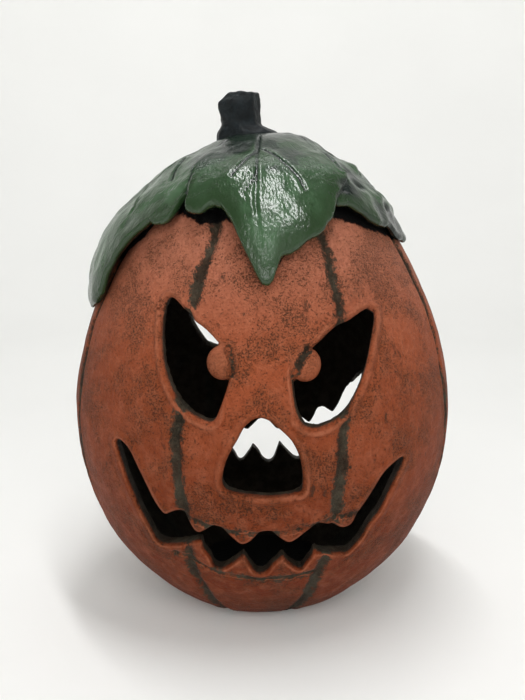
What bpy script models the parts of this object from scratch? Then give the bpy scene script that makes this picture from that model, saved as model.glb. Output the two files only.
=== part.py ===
"""Carved pumpkin lantern: a hollow moulded clay body with a loose leaf lid.

Metres, +Z up. The origin is the centre of the foot, on the ground.
The front face looks along -Y, and a copy of it is cut through the back.
Azimuths are in degrees from the front, positive towards +X.
"""

import math

import bmesh
import bpy
from mathutils import Matrix, Vector

MM = 0.001

# Body: a turned egg shape, widest at the cheeks.
BODY_RADIUS = 115 * MM
WIDEST_HEIGHT = 119 * MM
LOWER_REACH = 131 * MM
UPPER_REACH = 196 * MM
UPPER_POWER = 1.9
WALL = 9 * MM

# Top opening, under the lid.
RIM_HEIGHT = 254 * MM
RIM_OUTER_RADIUS = 57.5 * MM
RIM_INNER_RADIUS = 49.5 * MM
RIM_ROUNDING = 2 * MM

# Eight painted grooves run from the rim to the foot.
GROOVE_COUNT = 8
FIRST_GROOVE_DEG = 22.5
GROOVE_DEPTH = 1.8 * MM
GROOVE_HALF_WIDTH_DEG = 1.6
COLUMN_OFFSETS_DEG = (0.0, GROOVE_HALF_WIDTH_DEG, 7.0, 14.5, 22.5, 30.5, 38.0, 45.0 - GROOVE_HALF_WIDTH_DEG)
LOWER_ROWS = 11
UPPER_ROWS = 14
INNER_LOWER_ROWS = 6
INNER_UPPER_ROWS = 8

# Cut openings, seen from the front: across and height in millimetres.
LEFT_EYE = (
    (-49, 195.5), (-52.5, 192), (-53.5, 183), (-52, 168), (-48, 156), (-42, 146.5), (-35, 140.5),
    (-26, 137), (-22.5, 138), (-20, 143), (-17, 152), (-15, 160), (-14, 168), (-17, 173),
    (-20.5, 176.5), (-24.5, 180.5), (-29.5, 184.5), (-35, 187.5), (-39.5, 191),
)
RIGHT_EYE = (
    (54, 189), (55, 184), (54, 176), (51.5, 162), (48, 151.5), (42.5, 141.5), (37, 137),
    (31, 134.5), (26, 134), (21.5, 136), (18, 143), (16, 153.5), (15, 162), (18, 167),
    (23, 171), (29, 176), (34.5, 181), (43, 185), (50, 189),
)
NOSE = (
    (1, 139.5), (6, 137.5), (11, 132.5), (15.5, 126), (18.5, 119), (20, 111), (20, 103), (18, 100.5),
    (9, 98.5), (0, 98.5), (-9, 99.5), (-16, 101), (-19.5, 104), (-20, 109), (-18.5, 116),
    (-16, 122), (-12.5, 128), (-8.5, 133.5), (-5, 137), (-2, 139),
)
UPPER_LIP = (
    (-77, 120), (-73.5, 119), (-69.5, 115), (-65, 106.5), (-61, 98.5), (-57.5, 91), (-54, 85.5),
    (-51, 83), (-47.5, 85), (-44, 87), (-41, 86), (-39, 82), (-36, 77), (-33.5, 75), (-30.5, 76.5),
    (-27, 79), (-24, 80), (-20.5, 78.5), (-16, 74), (-12.5, 70.5), (-10, 69.7), (-6.5, 71.5),
    (-2.5, 76), (0, 77.5), (3.5, 78), (6, 76.5), (10, 73), (13.5, 70.8), (17, 72), (21, 75.5),
    (25, 79), (28.5, 81), (31.5, 81), (36, 79.5), (41, 77), (44, 76.5), (47, 78), (49, 82.5),
    (53.5, 89.5), (58, 96.5), (63, 104), (67.5, 108), (71, 110), (75, 111),
)
LOWER_LIP = (
    (74, 107), (71, 101), (67.5, 94), (64, 86), (61, 80.5), (56.5, 75), (53, 67.5), (49, 62),
    (45.5, 58.5), (41, 59.5), (34.5, 61), (29, 63), (27, 66), (26, 61), (23, 56), (20, 51.5),
    (15, 56), (12.5, 59), (10.5, 62.4), (8.5, 60), (5, 56), (2.5, 51.5), (-1, 49.5), (-4, 51),
    (-7.5, 58), (-10, 62.7), (-13.5, 59), (-17.5, 55), (-21.5, 51.7), (-25.5, 52.5), (-27.5, 59),
    (-31, 65), (-32, 70), (-38, 68), (-43.5, 65.5), (-53, 62.5), (-57, 64), (-59.5, 69.5),
    (-62.5, 76), (-65.5, 83), (-68, 89.5), (-71.5, 98), (-73.5, 104.5), (-76, 112), (-77.5, 117),
)
CUT_START = -130 * MM
CUT_END = -62 * MM

# A knob of clay on the inner edge of each eye is its pupil: across, out and height.
PUPIL_CENTRES = ((-19.8 * MM, -102.2 * MM, 165.5 * MM), (21.2 * MM, -101.8 * MM, 164.5 * MM))
PUPIL_HALF_SIZE = Vector((8 * MM, 6.5 * MM, 8.8 * MM))
PUPIL_SEGMENTS = 16
PUPIL_RINGS = 10

# The back face is the front face turned round, tilted a little as it was cut.
BACK_FACE_TILT_DEG = -3.0
BACK_FACE_PIVOT = 115 * MM

# Lid: four leaves drape from a dome about a centre on the body's axis.
DOME_CENTRE_HEIGHT = 180 * MM
DOME_RADIUS = 100.3 * MM
LEAF_THICKNESS = 4.8 * MM
LEAF_EDGE_OUTSET_DEG = 1.3
BODY_CLEARANCE = 0.8 * MM
LEAF_TIP_THICKNESS = 3.2 * MM
LID_COLUMNS = 96
LEAF_ROWS = 9
UNDERSIDE_ROWS = 5
# Edge of the leaves: azimuth and angle down from the top, lobes, notches and tips.
LEAF_EDGE_DEG = (
    (-124, 47), (-120, 54), (-113, 57.5), (-106, 61.5), (-99, 70), (-93, 78), (-86, 83.5), (-79, 86),
    (-72, 86.5), (-66, 84.5), (-61, 81), (-60, 76), (-57.7, 71), (-56.5, 68), (-54, 65), (-51, 61),
    (-46.3, 56.5), (-43.8, 56.5), (-39.3, 57), (-37.3, 56), (-36, 53), (-35.5, 50), (-34.5, 46),
    (-31.5, 46), (-30, 52), (-26, 53.7), (-23, 53), (-21, 51.5), (-18.6, 50.3), (-15.7, 50.5),
    (-13.6, 52.7), (-10.4, 56.7), (-7.5, 61.5), (-5, 66), (-2.3, 71), (-1.4, 73), (0, 74.8),
    (1.8, 74.8), (3.2, 73.5), (4.6, 70), (6, 67), (9, 66), (11.6, 64.5), (14.3, 62), (17.6, 61),
    (21, 59), (25.3, 55), (30.5, 49), (37, 49.5), (41.4, 51.5), (45.3, 54.5), (50.7, 57),
    (60.4, 57.5), (64, 60), (67, 62), (75, 63), (84, 62.5), (92, 60), (100, 57), (110, 54),
    (118, 53), (125, 47), (130, 53), (140, 55), (148, 53), (156, 58), (166, 66), (176, 74),
    (186, 70), (196, 63), (206, 57), (214, 54), (222, 56), (230, 54), (236, 47),
)
# The left leaf lifts off the cheek and the right leaf is pressed in.
LEFT_LEAF_DEG = -77.5
LEFT_LEAF_LIFT = 6 * MM
LEFT_LEAF_LIFT_AT_DEG = 75
RIGHT_LEAF_DEG = 80
RIGHT_LEAF_DROP = 4 * MM
RIGHT_LEAF_DROP_AT_DEG = 66
LEAF_SPREAD_DEG = 50

# Underneath the lid: a flat seat and a ring that keeps it on the opening.
REST_GAP = 0.3 * MM
SEAT_OUTER_RADIUS = 59.5 * MM
COLLAR_OUTER_RADIUS = 44.5 * MM
COLLAR_INNER_RADIUS = 38 * MM
COLLAR_DROP = 9.5 * MM
COLLAR_CHAMFER = 1.2 * MM
LID_HOLLOW_HEIGHT = 259 * MM
LID_HOLLOW_RADIUS = 93 * MM

# Stem: a stubby chipped block that leans left, with a flared root.
STEM_SIDES = 7
STEM_RINGS = (
    # centre across, centre out, height, half width, half depth, twist in degrees
    (-11, 4, 272, 20, 18, 8),
    (-11, 4, 281.5, 18.5, 15.5, 8),
    (-13, 3, 287.5, 12.5, 11.5, 4),
    (-14, 2, 297, 13, 11.5, 0),
    (-14.8, 1.5, 304, 13.6, 12, -3),
    (-13.6, 1.5, 307.5, 12.2, 10.5, -3),
)


def shell_radius(height):
    """Outer radius of the egg at a height above the ground."""
    rise = height - WIDEST_HEIGHT
    if rise > 0:
        return BODY_RADIUS * (1 - (rise / UPPER_REACH) ** UPPER_POWER)
    return BODY_RADIUS * math.sqrt(max(0.0, 1 - (rise / LOWER_REACH) ** 2))


def shell_normal(height):
    """Outward direction of the egg's side at a height, as radius and height."""
    step = 0.05 * MM
    slope = (shell_radius(height + step) - shell_radius(height - step)) / (2 * step)
    return Vector((1, -slope)).normalized()


def lower_heights(rows):
    """Heights from the foot up to the widest ring, closer together at the foot."""
    foot_turn = math.asin(WIDEST_HEIGHT / LOWER_REACH)
    turns = [foot_turn * (1 - row / rows) for row in range(rows)]
    return [WIDEST_HEIGHT - LOWER_REACH * math.sin(turn) for turn in turns]


def upper_heights(rows):
    """Heights from the widest ring up to just under the rim."""
    top = RIM_HEIGHT - RIM_ROUNDING
    return [WIDEST_HEIGHT + (top - WIDEST_HEIGHT) * row / rows for row in range(rows + 1)]


def body_profile():
    """Radius and height from the foot's centre, up outside, over the rim and down inside."""
    outside = lower_heights(LOWER_ROWS) + upper_heights(UPPER_ROWS)
    points = [(0.0, 0.0)]
    points += [(shell_radius(height), max(height, 0.0)) for height in outside]
    points += [(RIM_OUTER_RADIUS, RIM_HEIGHT), (RIM_INNER_RADIUS, RIM_HEIGHT)]
    points += [(RIM_INNER_RADIUS - RIM_ROUNDING, RIM_HEIGHT - RIM_ROUNDING)]
    inside = lower_heights(INNER_LOWER_ROWS) + upper_heights(INNER_UPPER_ROWS)
    inner = []
    for height in inside:
        spot = Vector((shell_radius(height), height)) - WALL * shell_normal(height)
        inner.append((spot.x, max(spot.y, WALL)))
    neck_height = inner[-1][1] + RIM_ROUNDING
    points.append((RIM_INNER_RADIUS - RIM_ROUNDING, neck_height))
    return points + inner[::-1] + [(0.0, WALL)]


def spin_profile(points, columns):
    """Turn a radius and height profile about +Z into a closed mesh, each point marked with its row."""
    mesh = bmesh.new()
    row_of = mesh.verts.layers.int.new("row")
    verts = [mesh.verts.new((radius, 0, height)) for radius, height in points]
    for row, vert in enumerate(verts):
        vert[row_of] = row
    edges = [mesh.edges.new(pair) for pair in zip(verts, verts[1:])]
    bmesh.ops.spin(
        mesh, geom=verts + edges, cent=(0, 0, 0), axis=(0, 0, 1),
        angle=math.tau, steps=columns, use_merge=True, use_duplicate=False,
    )
    bmesh.ops.remove_doubles(mesh, verts=mesh.verts, dist=0.01 * MM)
    bmesh.ops.recalc_face_normals(mesh, faces=mesh.faces)
    return mesh


def azimuth_of(spot):
    """Degrees round from the front, positive towards +X."""
    return math.degrees(math.atan2(spot.x, -spot.y))


def place(vert, radius, azimuth_deg):
    """Put a point at a radius and azimuth and keep its height."""
    turn = math.radians(azimuth_deg)
    vert.co.x = radius * math.sin(turn)
    vert.co.y = -radius * math.cos(turn)


def cut_grooves(mesh):
    """Gather the even columns at the grooves and press each groove in."""
    sector = 360 / GROOVE_COUNT
    spacing = sector / len(COLUMN_OFFSETS_DEG)
    for vert in mesh.verts:
        radius = vert.co.xy.length
        if radius < MM:
            continue
        column = round((azimuth_of(vert.co) - FIRST_GROOVE_DEG) / spacing)
        turn, slot = divmod(column, len(COLUMN_OFFSETS_DEG))
        azimuth = FIRST_GROOVE_DEG + turn * sector + COLUMN_OFFSETS_DEG[slot]
        outside = radius > shell_radius(vert.co.z) - WALL / 2
        below_rim = MM < vert.co.z < RIM_HEIGHT - RIM_ROUNDING / 2
        depth = GROOVE_DEPTH if slot == 0 and outside and below_rim else 0.0
        place(vert, radius - depth, azimuth)


def finish_object(name, mesh, material):
    """Make a scene object from a bmesh."""
    data = bpy.data.meshes.new(name)
    mesh.to_mesh(data)
    mesh.free()
    item = bpy.data.objects.new(name, data)
    bpy.context.scene.collection.objects.link(item)
    data.materials.append(material)
    return item


def add_prism(mesh, outline_mm):
    """Add a bar with the outline of one opening, running through the front wall."""
    ring = [mesh.verts.new((across * MM, CUT_START, height * MM)) for across, height in outline_mm]
    face = mesh.faces.new(ring)
    grown = bmesh.ops.extrude_face_region(mesh, geom=[face])
    moved = [item for item in grown["geom"] if isinstance(item, bmesh.types.BMVert)]
    bmesh.ops.translate(mesh, verts=moved, vec=(0, CUT_END - CUT_START, 0))


def face_openings():
    """The eyes, nose and mouth as closed bars."""
    mesh = bmesh.new()
    for outline in (LEFT_EYE, RIGHT_EYE, NOSE, UPPER_LIP + LOWER_LIP):
        add_prism(mesh, outline)
    bmesh.ops.recalc_face_normals(mesh, faces=mesh.faces)
    return mesh


def face_pupils():
    """The two knobs of clay."""
    mesh = bmesh.new()
    for centre in PUPIL_CENTRES:
        shape = Matrix.Translation(centre) @ Matrix.Diagonal(PUPIL_HALF_SIZE.to_4d())
        bmesh.ops.create_uvsphere(
            mesh, u_segments=PUPIL_SEGMENTS, v_segments=PUPIL_RINGS, radius=1, matrix=shape,
        )
    return mesh


def turned_to_back():
    """Matrix that carries the front face to the back."""
    pivot = Matrix.Translation((0, 0, BACK_FACE_PIVOT))
    tilt = Matrix.Rotation(math.radians(BACK_FACE_TILT_DEG), 4, "Y")
    return pivot @ tilt @ pivot.inverted() @ Matrix.Rotation(math.pi, 4, "Z")


def join_shape(item, helper, operation):
    """Cut or join a helper shape, which stays as a hidden guide."""
    helper.hide_render = True
    helper.display_type = "WIRE"
    boolean = item.modifiers.new(helper.name, "BOOLEAN")
    boolean.operation = operation
    boolean.solver = "EXACT"
    boolean.material_mode = "TRANSFER"
    boolean.object = helper


def make_body(material):
    """The hollow pumpkin with a face on the front and on the back."""
    mesh = spin_profile(body_profile(), GROOVE_COUNT * len(COLUMN_OFFSETS_DEG))
    cut_grooves(mesh)
    body = finish_object("pumpkin_body", mesh, material)
    for side, turn in (("front", Matrix.Identity(4)), ("back", turned_to_back())):
        openings = face_openings()
        openings.transform(turn)
        join_shape(body, finish_object(side + "_openings", openings, material), "DIFFERENCE")
        pupils = face_pupils()
        pupils.transform(turn)
        join_shape(body, finish_object(side + "_pupils", pupils, material), "UNION")
    return body


def leaf_edge_angle(azimuth_deg):
    """Angle down from the top at which the leaves end."""
    start = LEAF_EDGE_DEG[0][0]
    azimuth = start + (azimuth_deg - start) % 360
    for (left, left_angle), (right, right_angle) in zip(LEAF_EDGE_DEG, LEAF_EDGE_DEG[1:]):
        if azimuth <= right:
            share = (azimuth - left) / (right - left)
            return left_angle + share * (right_angle - left_angle)
    return LEAF_EDGE_DEG[-1][1]


def hump(value, centre, spread):
    """A smooth rise from 0 at the spread to 1 at the centre."""
    share = min(1.0, abs(value - centre) / spread)
    return 0.5 + 0.5 * math.cos(math.pi * share)


def body_reach(down_deg):
    """Distance from the dome's centre to the pumpkin along a direction."""
    down = math.radians(down_deg)
    reach = BODY_RADIUS
    for _ in range(8):
        height = DOME_CENTRE_HEIGHT + reach * math.cos(down)
        reach = shell_radius(height) / max(0.5, math.sin(down))
    return reach


def leaf_reach(azimuth_deg, down_deg):
    """Distance from the dome's centre to the top of the leaves."""
    left = hump(azimuth_deg, LEFT_LEAF_DEG, LEAF_SPREAD_DEG) * hump(down_deg, LEFT_LEAF_LIFT_AT_DEG, 40)
    right = hump(azimuth_deg, RIGHT_LEAF_DEG, LEAF_SPREAD_DEG) * hump(down_deg, RIGHT_LEAF_DROP_AT_DEG, 40)
    reach = DOME_RADIUS + LEFT_LEAF_LIFT * left - RIGHT_LEAF_DROP * right
    if down_deg < 45:
        return reach
    return max(reach, body_reach(down_deg) + BODY_CLEARANCE + LEAF_TIP_THICKNESS)


def underside_reach(azimuth_deg, down_deg):
    """Distance from the dome's centre to the bottom of the leaves."""
    reach = leaf_reach(azimuth_deg, down_deg) - LEAF_THICKNESS
    if down_deg < 45:
        return reach
    return max(reach, body_reach(down_deg) + BODY_CLEARANCE)


def lid_point(azimuth_deg, down_deg, reach):
    """A place at an azimuth, an angle down from the top and a reach."""
    down = math.radians(down_deg)
    turn = math.radians(azimuth_deg)
    radius = reach * math.sin(down)
    height = DOME_CENTRE_HEIGHT + reach * math.cos(down)
    return Vector((radius * math.sin(turn), -radius * math.cos(turn), height))


def collar_profile():
    """Radius and height of the seat, the ring under it and the hollow in the dome."""
    seat = RIM_HEIGHT + REST_GAP
    foot = seat - COLLAR_DROP
    hollow_top = DOME_CENTRE_HEIGHT + LID_HOLLOW_RADIUS
    return [
        (SEAT_OUTER_RADIUS, seat),
        (COLLAR_OUTER_RADIUS, seat),
        (COLLAR_OUTER_RADIUS, foot + COLLAR_CHAMFER),
        (COLLAR_OUTER_RADIUS - COLLAR_CHAMFER, foot),
        (COLLAR_INNER_RADIUS + COLLAR_CHAMFER, foot),
        (COLLAR_INNER_RADIUS, foot + COLLAR_CHAMFER),
        (COLLAR_INNER_RADIUS, LID_HOLLOW_HEIGHT),
        (COLLAR_INNER_RADIUS * 0.6, hollow_top - 4 * MM),
        (0.0, hollow_top),
    ]


def lid_column(azimuth_deg):
    """Places down one line of the lid: over the leaf, round its edge and back underneath."""
    edge = leaf_edge_angle(azimuth_deg)
    seat_height = RIM_HEIGHT + REST_GAP - DOME_CENTRE_HEIGHT
    seat_angle = math.degrees(math.atan2(SEAT_OUTER_RADIUS, seat_height))
    places = []
    for row in range(1, LEAF_ROWS + 1):
        down = edge * row / LEAF_ROWS
        places.append(lid_point(azimuth_deg, down, leaf_reach(azimuth_deg, down)))
    outset = edge + LEAF_EDGE_OUTSET_DEG
    middle = (leaf_reach(azimuth_deg, outset) + underside_reach(azimuth_deg, outset)) / 2
    places.append(lid_point(azimuth_deg, outset, middle))
    for row in range(UNDERSIDE_ROWS):
        down = edge + (seat_angle - edge) * row / UNDERSIDE_ROWS
        places.append(lid_point(azimuth_deg, down, underside_reach(azimuth_deg, down)))
    return places


def make_lid(material, stem_material):
    """The four leaves and their stem in one piece."""
    fixed = collar_profile()
    crown = (0.0, DOME_CENTRE_HEIGHT + DOME_RADIUS)
    sample = [(spot.xy.length, spot.z) for spot in lid_column(0)]
    mesh = spin_profile([crown] + sample + fixed, LID_COLUMNS)
    row_of = mesh.verts.layers.int["row"]
    for vert in mesh.verts:
        if 1 <= vert[row_of] <= len(sample):
            vert.co = lid_column(azimuth_of(vert.co))[vert[row_of] - 1]
    lid = finish_object("leaf_lid", mesh, material)
    join_shape(lid, finish_object("stem_block", stem_mesh(), stem_material), "UNION")
    return lid


def stem_mesh():
    """A chipped block from many-sided rings, bridged and capped."""
    mesh = bmesh.new()
    loops = []
    for across, out, height, half_width, half_depth, twist in STEM_RINGS:
        verts = []
        for side in range(STEM_SIDES):
            turn = math.radians(360 * side / STEM_SIDES + twist)
            spot = (across + half_width * math.cos(turn), out + half_depth * math.sin(turn), height)
            verts.append(mesh.verts.new(Vector(spot) * MM))
        loops.append([mesh.edges.new(pair) for pair in zip(verts, verts[1:] + verts[:1])])
    for low, high in zip(loops, loops[1:]):
        bmesh.ops.bridge_loops(mesh, edges=low + high)
    bmesh.ops.holes_fill(mesh, edges=mesh.edges, sides=STEM_SIDES)
    bmesh.ops.recalc_face_normals(mesh, faces=mesh.faces)
    return mesh


def make_material(name, colour, roughness):
    """A plain painted finish."""
    material = bpy.data.materials.new(name)
    material.use_nodes = True
    shader = material.node_tree.nodes["Principled BSDF"]
    shader.inputs["Base Color"].default_value = (*colour, 1)
    shader.inputs["Roughness"].default_value = roughness
    shader.inputs["Metallic"].default_value = 0
    return material


def clear_scene():
    """Remove whatever the scene holds."""
    for item in list(bpy.data.objects):
        bpy.data.objects.remove(item, do_unlink=True)


def smooth_shading(item, angle_deg):
    """Shade a round piece smooth and keep its real corners sharp."""
    item.data.shade_smooth()
    item.data.set_sharp_from_angle(angle=math.radians(angle_deg))


def main():
    clear_scene()
    clay = make_material("painted terracotta", (0.23, 0.07, 0.03), 0.75)
    leaf = make_material("green glaze", (0.06, 0.15, 0.06), 0.3)
    stem = make_material("dark stem glaze", (0.02, 0.025, 0.03), 0.5)
    smooth_shading(make_body(clay), 40)
    smooth_shading(make_lid(leaf, stem), 40)


main()
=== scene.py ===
"""Carved pumpkin lantern: painted clay body, glazed leaf lid and chipped stem."""

import math

import bmesh
import bpy
import numpy as np
from bpy.props import FloatProperty, FloatVectorProperty, IntProperty, PointerProperty, StringProperty
from mathutils import Matrix, Vector, noise


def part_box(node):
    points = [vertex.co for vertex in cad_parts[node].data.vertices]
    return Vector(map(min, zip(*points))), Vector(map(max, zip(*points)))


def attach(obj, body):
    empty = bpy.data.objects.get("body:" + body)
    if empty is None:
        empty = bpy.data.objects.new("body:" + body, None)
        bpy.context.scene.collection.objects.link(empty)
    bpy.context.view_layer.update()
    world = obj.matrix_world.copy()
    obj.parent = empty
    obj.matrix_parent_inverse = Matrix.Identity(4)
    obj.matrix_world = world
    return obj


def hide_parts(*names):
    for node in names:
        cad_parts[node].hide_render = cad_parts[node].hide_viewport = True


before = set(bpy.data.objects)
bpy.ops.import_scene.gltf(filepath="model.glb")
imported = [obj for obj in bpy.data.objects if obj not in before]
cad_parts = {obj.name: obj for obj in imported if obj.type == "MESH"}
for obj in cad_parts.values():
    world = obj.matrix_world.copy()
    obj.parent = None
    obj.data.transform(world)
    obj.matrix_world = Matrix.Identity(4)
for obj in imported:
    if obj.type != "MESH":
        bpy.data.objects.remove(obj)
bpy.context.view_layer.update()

bl_info = {
    "name": "Carved Pumpkin Lantern",
    "version": (1, 0, 0),
    "blender": (4, 5, 0),
    "location": "3D View > Sidebar > Lantern",
    "description": "Makes a painted clay pumpkin lantern with a leaf lid",
    "category": "Add Mesh",
}

BODY_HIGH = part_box("pumpkin_body")[1]
MM = 0.001

# Shape of the body in millimetres, as in the solids.
WIDEST_HEIGHT = 119.0
LOWER_REACH = 131.0
UPPER_REACH = 196.0
UPPER_POWER = 1.9
RIM_OUTER_RADIUS = 57.5
RIM_INNER_RADIUS = 49.5
RIM_ROUNDING = 2.0
BODY_COLUMNS = 128

# Carving in millimetres: half width of the grooves, with a low bank beside each.
GROOVE_HALF_WIDTH = 2.3
BANK_DISTANCE = 5.0
BANK_HALF_WIDTH = 2.0
BANK_HEIGHT = 0.3
# The ridge round each opening, and the trough behind it with its share of the ridge's height.
LIP_DISTANCE = 2.9
LIP_HALF_WIDTH = 1.4
TROUGH_DISTANCE = 5.6
TROUGH_HALF_WIDTH = 1.6
TROUGH_SHARE = 0.45
PUPIL_FILLET = 1.2
# Hand-made waves in the clay: size and height.
BODY_WAVES = ((32, 0.7), (9, 0.25))
# The skin stays as it was cut near the rim, at the foot and this close to the middle.
STILL_RIM = (246, 251)
STILL_FOOT = 1.0
STILL_RADIUS = 44

# Cut openings, seen from the front: across and height in millimetres.
LEFT_EYE = (
    (-49, 195.5), (-52.5, 192), (-53.5, 183), (-52, 168), (-48, 156), (-42, 146.5), (-35, 140.5),
    (-26, 137), (-22.5, 138), (-20, 143), (-17, 152), (-15, 160), (-14, 168), (-17, 173),
    (-21.3, 174.8), (-25.5, 178.4), (-30.5, 182.2), (-35.8, 185.3), (-40.3, 189.5),
)
RIGHT_EYE = (
    (54, 189), (55, 184), (54, 176), (51.5, 162), (48, 151.5), (42.5, 141.5), (37, 137),
    (31, 134.5), (26, 134), (21.5, 136), (18, 143), (16, 153.5), (15, 162), (18, 167),
    (23, 171), (29, 176), (34.5, 181), (43, 185), (50, 189),
)
NOSE = (
    (1, 139.5), (6, 137.5), (11, 132.5), (15.5, 126), (18.5, 119), (20, 111), (20, 103), (18, 100.5),
    (9, 98.5), (0, 98.5), (-9, 99.5), (-16, 101), (-19.5, 104), (-20, 109), (-18.5, 116),
    (-16, 122), (-12.5, 128), (-8.5, 133.5), (-5, 137), (-2, 139),
)
UPPER_LIP = (
    (-77, 120), (-73.5, 119), (-69.5, 115), (-65, 106.5), (-61, 98.5), (-57.5, 91), (-54, 85.5),
    (-51, 83), (-47.5, 85), (-44, 87), (-41, 86), (-39, 82), (-36, 77), (-33.5, 75), (-30.5, 76.5),
    (-27, 79), (-24, 80), (-20.5, 78.5), (-16, 74), (-12.5, 70.5), (-10, 69.7), (-6.5, 71.5),
    (-2.5, 76), (0, 77.5), (3.5, 78), (6, 76.5), (10, 73), (13.5, 70.8), (17, 72), (21, 75.5),
    (25, 79), (28.5, 81), (31.5, 81), (36, 79.5), (41, 77), (44, 76.5), (47, 78), (49, 82.5),
    (53.5, 89.5), (58, 96.5), (63, 104), (67.5, 108), (71, 110), (75, 111),
)
LOWER_LIP = (
    (74, 107), (71, 101), (67.5, 94), (64, 86), (61, 80.5), (56.5, 75), (53, 67.5), (49, 62),
    (45.5, 58.5), (41, 59.5), (34.5, 61), (29, 63), (27, 66), (26, 61), (23, 56), (20, 51.5),
    (15, 56), (12.5, 59), (10.5, 62.4), (8.5, 60), (5, 56), (2.5, 51.5), (-1, 49.5), (-4, 51),
    (-7.5, 58), (-10, 62.7), (-13.5, 59), (-17.5, 55), (-21.5, 51.7), (-25.5, 52.5), (-27.5, 59),
    (-31, 65), (-32, 70), (-38, 68), (-43.5, 65.5), (-53, 62.5), (-57, 64), (-59.5, 69.5),
    (-62.5, 76), (-65.5, 83), (-68, 89.5), (-71.5, 98), (-73.5, 104.5), (-76, 112), (-77.5, 117),
)
OUTLINE_SAMPLES = 5
# The cuts run from front to back between these places; the eyes, above a height, are cut on a slant.
CUT_START = -130.0
CUT_END = -62.0
EYE_SLANT = 0.15
EYE_SLANT_FROM = -100.0
EYES_ABOVE = 132.0
EYES_BLEND = 5.0
BACK_FACE_TILT_DEG = -3.0
BACK_FACE_PIVOT = 115.0
# The back face was cut with smaller eyes: height and growth of the openings. One arm of its mouth is wider,
# and the other is narrower and ends sooner.
BACK_CHANGE = ((95, 1.2), (104, -3.4), (130, -2.5), (142, -2.2))
BACK_WIDE_ARM = 2.0
BACK_WIDE_FROM = (44, 54)
BACK_WIDE_UP_TO = (104, 112)
BACK_NARROW_ARM = -1.2
BACK_NARROW_FROM = (38, 46)
BACK_MOUTH_END = 68.0

# Pupils: knobs of clay on the inner edges of the eyes, in millimetres.
PUPIL_CENTRES = ((-19.8, -102.2, 165.5), (21.2, -101.8, 164.5))
PUPIL_HALF_SIZE = (8.0, 6.5, 8.8)

# Lines scored in the face: points across and up, depth and half width in millimetres.
SCORED = (
    (((-41, 85.5), (-29, 80.5), (-14, 77.5), (1, 77), (14, 78), (27, 81.5), (37, 84), (49, 85)), 1.2, 1.9),
    (((-47, 59), (-39, 57), (-28, 50.5), (-17, 47.5), (-1, 45.5), (15, 46.5), (27, 49)), 1.2, 1.9),
    (((-17, 173), (-15.2, 168), (-14.2, 161)), 1.7, 2.3),
    (((22.5, 172), (18.5, 167), (16.3, 160.5)), 1.7, 2.5),
)

# How far the grey-green wash spreads from a groove, in millimetres.
WASH_REACH = 3.3
# The sill of the nose, which the orange runs over: height, spread and half width, in millimetres.
SILL_HEIGHT = 98
SILL_SPREAD = 4
SILL_HALF_WIDTH = 16
SILL_END = 19
# Distances from an edge, in millimetres, at which the painted highlight on the lips is brightest and still
# faint.
LIP_HIGHLIGHT_AT = 2.8
NO_LIP_HIGHLIGHT_AT = 1.4

# Azimuth of the two grooves beside the face at some heights; the others are straight.
LEFT_GROOVE = ((0, -22.5), (190, -21.5), (232, -19.0))
RIGHT_GROOVE = ((0, 17.0), (60, 18.5), (90, 20.3), (135, 20.8), (190, 23.5), (232, 23.6))
STRAIGHT_GROOVES_DEG = (67.5, 112.5, 157.5, -157.5, -112.5, -67.5)

# Lid in millimetres and degrees, as in the solids.
DOME_CENTRE = 180.0
DOME_RADIUS = 100.3
LEAF_THICKNESS = 4.8
BODY_CLEARANCE = 0.8
LEAF_TIP_THICKNESS = 3.2
LEAST_LEAF_THICKNESS = 2.2
LEAF_EDGE_DEG = (
    (-124, 47), (-120, 54), (-113, 57.5), (-106, 61.5), (-99, 70), (-93, 78), (-86, 83.5), (-79, 86),
    (-72, 86.5), (-66, 84.5), (-61, 81), (-60, 76), (-57.7, 71), (-56.5, 68), (-54, 65), (-51, 61),
    (-46.3, 56.5), (-43.8, 56.5), (-39.3, 57), (-37.3, 56), (-36, 53), (-35.5, 50), (-34.5, 46),
    (-31.5, 46), (-30, 52), (-26, 53.7), (-23, 53), (-21, 51.5), (-18.6, 50.3), (-15.7, 50.5),
    (-13.6, 52.7), (-10.4, 56.7), (-7.5, 61.5), (-5, 66), (-2.3, 71), (-1.4, 73), (0, 74.8),
    (1.8, 74.8), (3.2, 73.5), (4.6, 70), (6, 67), (9, 66), (11.6, 64.5), (14.3, 62), (17.6, 61),
    (21, 59), (25.3, 55), (30.5, 49), (37, 49.5), (41.4, 51.5), (45.3, 54.5), (50.7, 57),
    (60.4, 57.5), (64, 60), (67, 62), (75, 63), (84, 62.5), (92, 60), (100, 57), (110, 54),
    (118, 53), (125, 47), (130, 53), (140, 55), (148, 53), (156, 58), (166, 66), (176, 74),
    (186, 70), (196, 63), (206, 57), (214, 54), (222, 56), (230, 54), (236, 47),
)
# Where the painted shadow on the body under the leaves ends.
LEAF_SHADE_DEG = (
    (-180, 72), (-170, 66), (-150, 55), (-130, 50), (-110, 62), (-95, 76), (-86, 82), (-77.5, 80.5),
    (-71, 71.5), (-62, 65.5), (-55.6, 61), (-52.4, 56), (-45, 52.5), (-38.6, 51), (-32, 52.3),
    (-26, 55.2), (-20, 54.4), (-15, 53), (-12, 54.5), (-8, 60.5), (-3, 70.5), (0, 74), (3, 73),
    (8, 66), (14, 61.5), (20, 59), (27, 54.5), (31, 52.5), (40, 54.5), (50, 58), (60, 60.3), (75, 63.5),
    (90, 61), (110, 55), (125, 49), (140, 54), (160, 62), (176, 72), (180, 72),
)
LEFT_LEAF_DEG = -77.5
LEFT_LEAF_LIFT = 6.0
LEFT_LEAF_LIFT_AT_DEG = 75.0
RIGHT_LEAF_DEG = 80.0
RIGHT_LEAF_DROP = 4.0
RIGHT_LEAF_DROP_AT_DEG = 66.0
LEAF_SPREAD_DEG = 50.0
# Azimuth of the leaf whose green is worn thin.
WORN_LEAF_DEG = 60.0
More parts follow.
